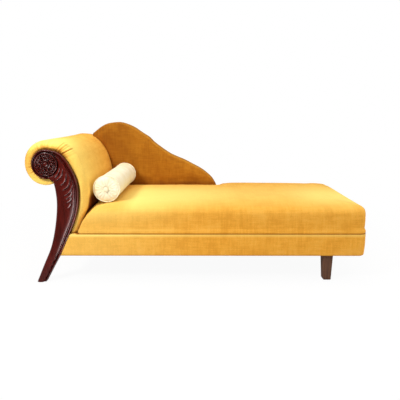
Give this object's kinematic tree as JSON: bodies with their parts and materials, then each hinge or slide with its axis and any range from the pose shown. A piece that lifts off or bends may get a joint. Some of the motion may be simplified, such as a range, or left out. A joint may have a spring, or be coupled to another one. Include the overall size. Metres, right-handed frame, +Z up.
{
  "type": "fainting couch",
  "caption": "Upholstered fainting couch with a rolled head arm, carved scroll leg and rosette, humped half back, tight seat, tapered legs and a loose round bolster.",
  "frame": {"origin": "centre of the couch's bounding box at floor level", "axes": "+X towards the foot end, -Y towards the sitter's open side, +Z up"},
  "size_m": [1.7999, 0.7, 0.825],
  "materials": {
    "gold_chenille": "golden yellow chenille velvet with a short soft nap",
    "gold_chenille_shade": "the same chenille with its nap lying away, a browner gold",
    "mahogany": "carved mahogany, dark red brown, glossy polish",
    "brown_leg_wood": "stained hardwood, dark brown, satin",
    "cream_satin": "cream satin, gathered at the ends",
    "frame_hardwood": "bare beech frame wood",
    "plywood": "bare birch plywood",
    "foam": "upholstery foam and polyester wadding",
    "black_lining": "black nonwoven lining and black webbing",
    "black_plastic": "black nylon nail-on glides",
    "steel": "zinc plated steel screws"
  },
  "bodies": {
    "couch": {"front_rail": "frame_hardwood", "rear_rail": "frame_hardwood", "head_end_rail": "frame_hardwood", "foot_end_rail": "frame_hardwood", "cross_rails": "frame_hardwood", "corner_blocks": "frame_hardwood", "leg_blocks": "frame_hardwood", "rail_screws": "steel", "base_foam": "foam", "base_cover": "gold_chenille", "dust_cover": "black_lining", "seat_frame": "plywood", "seat_webbing": "black_lining", "seat_foam": "foam", "seat_wadding": "foam", "seat_cover": "gold_chenille", "arm_front_rib": "plywood", "arm_middle_rib": "plywood", "arm_rear_rib": "plywood", "arm_foot_board": "frame_hardwood", "arm_board_screws": "steel", "arm_ply_skin": "plywood", "arm_foam": "foam", "arm_cover": "gold_chenille", "arm_rear_panel": "gold_chenille", "scroll_leg": "mahogany", "rosette": "mahogany", "scroll_dowels": "frame_hardwood", "back_board": "plywood", "back_foam": "foam", "back_inside_cover": "gold_chenille_shade", "back_outside_cover": "gold_chenille", "back_piping": "gold_chenille_shade", "back_dowels": "frame_hardwood", "foot_front_leg": "brown_leg_wood", "foot_rear_leg": "brown_leg_wood", "head_rear_leg": "brown_leg_wood", "leg_bolts": "steel", "leg_inserts": "steel", "foot_glides": "black_plastic"},
    "bolster": {"bolster_filling": "foam", "bolster_cover": "cream_satin", "bolster_piping": "cream_satin", "bolster_buttons": "cream_satin"}
  },
  "joints": [
    {"name": "bolster_lift", "type": "slide", "parent": "couch", "child": "bolster", "axis": [0, 0, 1], "range_m": [0, 0.3]}
  ]
}
